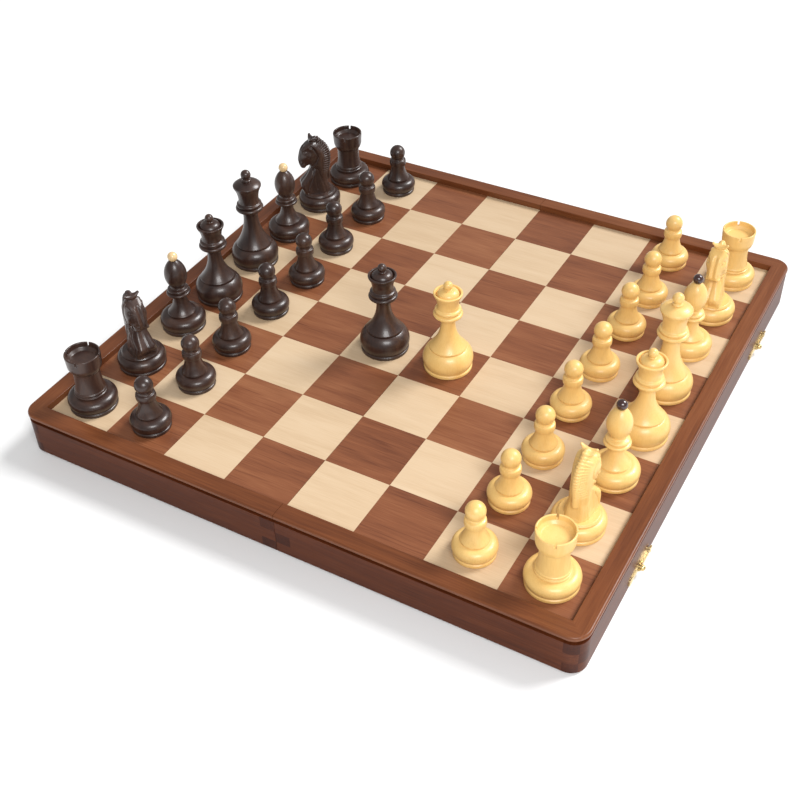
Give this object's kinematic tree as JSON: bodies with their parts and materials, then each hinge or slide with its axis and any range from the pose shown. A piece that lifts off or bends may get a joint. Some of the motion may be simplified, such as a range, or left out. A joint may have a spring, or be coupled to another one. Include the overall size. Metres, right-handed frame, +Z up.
{
  "type": "chess set with folding board",
  "caption": "Folding wooden chess board box opened flat, with turned light and dark pieces set out on it, brass hinges and hook latches.",
  "frame": {"origin": "centre of the board's fold line, on the table that the board stands on", "axes": "+X from the dark pieces' side across the fold to the light pieces' side, +Y from the a-file to the h-file, +Z up"},
  "size_m": [0.4348, 0.426, 0.1136],
  "materials": {
    "boxwood": "satin lacquer",
    "dark_piece_wood": "gloss lacquer",
    "pale_ball": "satin lacquer",
    "dark_ball": "gloss lacquer",
    "light_veneer": "satin",
    "dark_veneer": "satin",
    "panel_wood": "plain sanded",
    "rim_wood": "satin lacquer",
    "wall_wood": "satin lacquer",
    "brass": "polished, lightly worn"
  },
  "bodies": {
    "left_half": {"back_wall_left": "wall_wood", "dark_squares_left": "dark_veneer", "front_wall_left": "wall_wood", "hinge_hardware_left": "brass", "inner_wall_left": "wall_wood", "light_squares_left": "light_veneer", "outer_wall_left": "wall_wood", "play_panel_left": "panel_wood", "rim_rails_left": "rim_wood", "catch_plates": "brass"},
    "right_half": {"back_wall_right": "wall_wood", "dark_squares_right": "dark_veneer", "front_wall_right": "wall_wood", "hinge_hardware_right": "brass", "inner_wall_right": "wall_wood", "light_squares_right": "light_veneer", "outer_wall_right": "wall_wood", "play_panel_right": "panel_wood", "rim_rails_right": "rim_wood", "latch_plates": "brass"},
    "hook_front": {"latch_hook_front": "brass"},
    "hook_back": {"latch_hook_back": "brass"},
    "black_bishop_c8_piece": {"black_bishop_c8": "dark_piece_wood", "black_bishop_ball_c8": "pale_ball"},
    "black_bishop_f8_piece": {"black_bishop_f8": "dark_piece_wood", "black_bishop_ball_f8": "pale_ball"},
    "black_king_e8_piece": {"black_king_e8": "dark_piece_wood"},
    "black_knight_b8_piece": {"black_knight_b8": "dark_piece_wood"},
    "black_knight_g8_piece": {"black_knight_g8": "dark_piece_wood"},
    "black_pawn_a7_piece": {"black_pawn_a7": "dark_piece_wood"},
    "black_pawn_b7_piece": {"black_pawn_b7": "dark_piece_wood"},
    "black_pawn_c7_piece": {"black_pawn_c7": "dark_piece_wood"},
    "black_pawn_d7_piece": {"black_pawn_d7": "dark_piece_wood"},
    "black_pawn_e7_piece": {"black_pawn_e7": "dark_piece_wood"},
    "black_pawn_f7_piece": {"black_pawn_f7": "dark_piece_wood"},
    "black_pawn_g7_piece": {"black_pawn_g7": "dark_piece_wood"},
    "black_pawn_h7_piece": {"black_pawn_h7": "dark_piece_wood"},
    "black_queen_d5_piece": {"black_queen_d5": "dark_piece_wood"},
    "black_queen_d8_piece": {"black_queen_d8": "dark_piece_wood"},
    "black_rook_a8_piece": {"black_rook_a8": "dark_piece_wood"},
    "black_rook_h8_piece": {"black_rook_h8": "dark_piece_wood"},
    "white_bishop_c1_piece": {"white_bishop_c1": "boxwood", "white_bishop_ball_c1": "dark_ball"},
    "white_bishop_f1_piece": {"white_bishop_f1": "boxwood", "white_bishop_ball_f1": "dark_ball"},
    "white_king_e1_piece": {"white_king_e1": "boxwood"},
    "white_knight_b1_piece": {"white_knight_b1": "boxwood"},
    "white_knight_g1_piece": {"white_knight_g1": "boxwood"},
    "white_pawn_a2_piece": {"white_pawn_a2": "boxwood"},
    "white_pawn_b2_piece": {"white_pawn_b2": "boxwood"},
    "white_pawn_c2_piece": {"white_pawn_c2": "boxwood"},
    "white_pawn_d2_piece": {"white_pawn_d2": "boxwood"},
    "white_pawn_e2_piece": {"white_pawn_e2": "boxwood"},
    "white_pawn_f2_piece": {"white_pawn_f2": "boxwood"},
    "white_pawn_g2_piece": {"white_pawn_g2": "boxwood"},
    "white_pawn_h2_piece": {"white_pawn_h2": "boxwood"},
    "white_queen_d1_piece": {"white_queen_d1": "boxwood"},
    "white_queen_d4_piece": {"white_queen_d4": "boxwood"},
    "white_rook_a1_piece": {"white_rook_a1": "boxwood"},
    "white_rook_h1_piece": {"white_rook_h1": "boxwood"}
  },
  "joints": [
    {"name": "board_fold", "type": "hinge", "parent": "left_half", "child": "right_half", "pos_m": [0, 0, 0.0011], "axis": [0, 1, 0], "range_deg": [0, 180]},
    {"name": "hook_front_swing", "type": "hinge", "parent": "right_half", "child": "hook_front", "pos_m": [0.2139, -0.119, 0.0062], "axis": [-1, 0, 0], "range_deg": [0, 90]},
    {"name": "hook_back_swing", "type": "hinge", "parent": "right_half", "child": "hook_back", "pos_m": [0.2139, 0.133, 0.0062], "axis": [-1, 0, 0], "range_deg": [0, 90]},
    {"name": "black_bishop_c8_lift", "type": "slide", "parent": "left_half", "child": "black_bishop_c8_piece", "axis": [0, 0, 1], "range_m": [0, 0.1]},
    {"name": "black_bishop_f8_lift", "type": "slide", "parent": "left_half", "child": "black_bishop_f8_piece", "axis": [0, 0, 1], "range_m": [0, 0.1]},
    {"name": "black_king_e8_lift", "type": "slide", "parent": "left_half", "child": "black_king_e8_piece", "axis": [0, 0, 1], "range_m": [0, 0.1]},
    {"name": "black_knight_b8_lift", "type": "slide", "parent": "left_half", "child": "black_knight_b8_piece", "axis": [0, 0, 1], "range_m": [0, 0.1]},
    {"name": "black_knight_g8_lift", "type": "slide", "parent": "left_half", "child": "black_knight_g8_piece", "axis": [0, 0, 1], "range_m": [0, 0.1]},
    {"name": "black_pawn_a7_lift", "type": "slide", "parent": "left_half", "child": "black_pawn_a7_piece", "axis": [0, 0, 1], "range_m": [0, 0.1]},
    {"name": "black_pawn_b7_lift", "type": "slide", "parent": "left_half", "child": "black_pawn_b7_piece", "axis": [0, 0, 1], "range_m": [0, 0.1]},
    {"name": "black_pawn_c7_lift", "type": "slide", "parent": "left_half", "child": "black_pawn_c7_piece", "axis": [0, 0, 1], "range_m": [0, 0.1]},
    {"name": "black_pawn_d7_lift", "type": "slide", "parent": "left_half", "child": "black_pawn_d7_piece", "axis": [0, 0, 1], "range_m": [0, 0.1]},
    {"name": "black_pawn_e7_lift", "type": "slide", "parent": "left_half", "child": "black_pawn_e7_piece", "axis": [0, 0, 1], "range_m": [0, 0.1]},
    {"name": "black_pawn_f7_lift", "type": "slide", "parent": "left_half", "child": "black_pawn_f7_piece", "axis": [0, 0, 1], "range_m": [0, 0.1]},
    {"name": "black_pawn_g7_lift", "type": "slide", "parent": "left_half", "child": "black_pawn_g7_piece", "axis": [0, 0, 1], "range_m": [0, 0.1]},
    {"name": "black_pawn_h7_lift", "type": "slide", "parent": "left_half", "child": "black_pawn_h7_piece", "axis": [0, 0, 1], "range_m": [0, 0.1]},
    {"name": "black_queen_d5_lift", "type": "slide", "parent": "left_half", "child": "black_queen_d5_piece", "axis": [0, 0, 1], "range_m": [0, 0.1]},
    {"name": "black_queen_d8_lift", "type": "slide", "parent": "left_half", "child": "black_queen_d8_piece", "axis": [0, 0, 1], "range_m": [0, 0.1]},
    {"name": "black_rook_a8_lift", "type": "slide", "parent": "left_half", "child": "black_rook_a8_piece", "axis": [0, 0, 1], "range_m": [0, 0.1]},
    {"name": "black_rook_h8_lift", "type": "slide", "parent": "left_half", "child": "black_rook_h8_piece", "axis": [0, 0, 1], "range_m": [0, 0.1]},
    {"name": "white_bishop_c1_lift", "type": "slide", "parent": "right_half", "child": "white_bishop_c1_piece", "axis": [0, 0, 1], "range_m": [0, 0.1]},
    {"name": "white_bishop_f1_lift", "type": "slide", "parent": "right_half", "child": "white_bishop_f1_piece", "axis": [0, 0, 1], "range_m": [0, 0.1]},
    {"name": "white_king_e1_lift", "type": "slide", "parent": "right_half", "child": "white_king_e1_piece", "axis": [0, 0, 1], "range_m": [0, 0.1]},
    {"name": "white_knight_b1_lift", "type": "slide", "parent": "right_half", "child": "white_knight_b1_piece", "axis": [0, 0, 1], "range_m": [0, 0.1]},
    {"name": "white_knight_g1_lift", "type": "slide", "parent": "right_half", "child": "white_knight_g1_piece", "axis": [0, 0, 1], "range_m": [0, 0.1]},
    {"name": "white_pawn_a2_lift", "type": "slide", "parent": "right_half", "child": "white_pawn_a2_piece", "axis": [0, 0, 1], "range_m": [0, 0.1]},
    {"name": "white_pawn_b2_lift", "type": "slide", "parent": "right_half", "child": "white_pawn_b2_piece", "axis": [0, 0, 1], "range_m": [0, 0.1]},
    {"name": "white_pawn_c2_lift", "type": "slide", "parent": "right_half", "child": "white_pawn_c2_piece", "axis": [0, 0, 1], "range_m": [0, 0.1]},
    {"name": "white_pawn_d2_lift", "type": "slide", "parent": "right_half", "child": "white_pawn_d2_piece", "axis": [0, 0, 1], "range_m": [0, 0.1]},
    {"name": "white_pawn_e2_lift", "type": "slide", "parent": "right_half", "child": "white_pawn_e2_piece", "axis": [0, 0, 1], "range_m": [0, 0.1]},
    {"name": "white_pawn_f2_lift", "type": "slide", "parent": "right_half", "child": "white_pawn_f2_piece", "axis": [0, 0, 1], "range_m": [0, 0.1]},
    {"name": "white_pawn_g2_lift", "type": "slide", "parent": "right_half", "child": "white_pawn_g2_piece", "axis": [0, 0, 1], "range_m": [0, 0.1]},
    {"name": "white_pawn_h2_lift", "type": "slide", "parent": "right_half", "child": "white_pawn_h2_piece", "axis": [0, 0, 1], "range_m": [0, 0.1]},
    {"name": "white_queen_d1_lift", "type": "slide", "parent": "right_half", "child": "white_queen_d1_piece", "axis": [0, 0, 1], "range_m": [0, 0.1]},
    {"name": "white_queen_d4_lift", "type": "slide", "parent": "right_half", "child": "white_queen_d4_piece", "axis": [0, 0, 1], "range_m": [0, 0.1]},
    {"name": "white_rook_a1_lift", "type": "slide", "parent": "right_half", "child": "white_rook_a1_piece", "axis": [0, 0, 1], "range_m": [0, 0.1]},
    {"name": "white_rook_h1_lift", "type": "slide", "parent": "right_half", "child": "white_rook_h1_piece", "axis": [0, 0, 1], "range_m": [0, 0.1]}
  ]
}
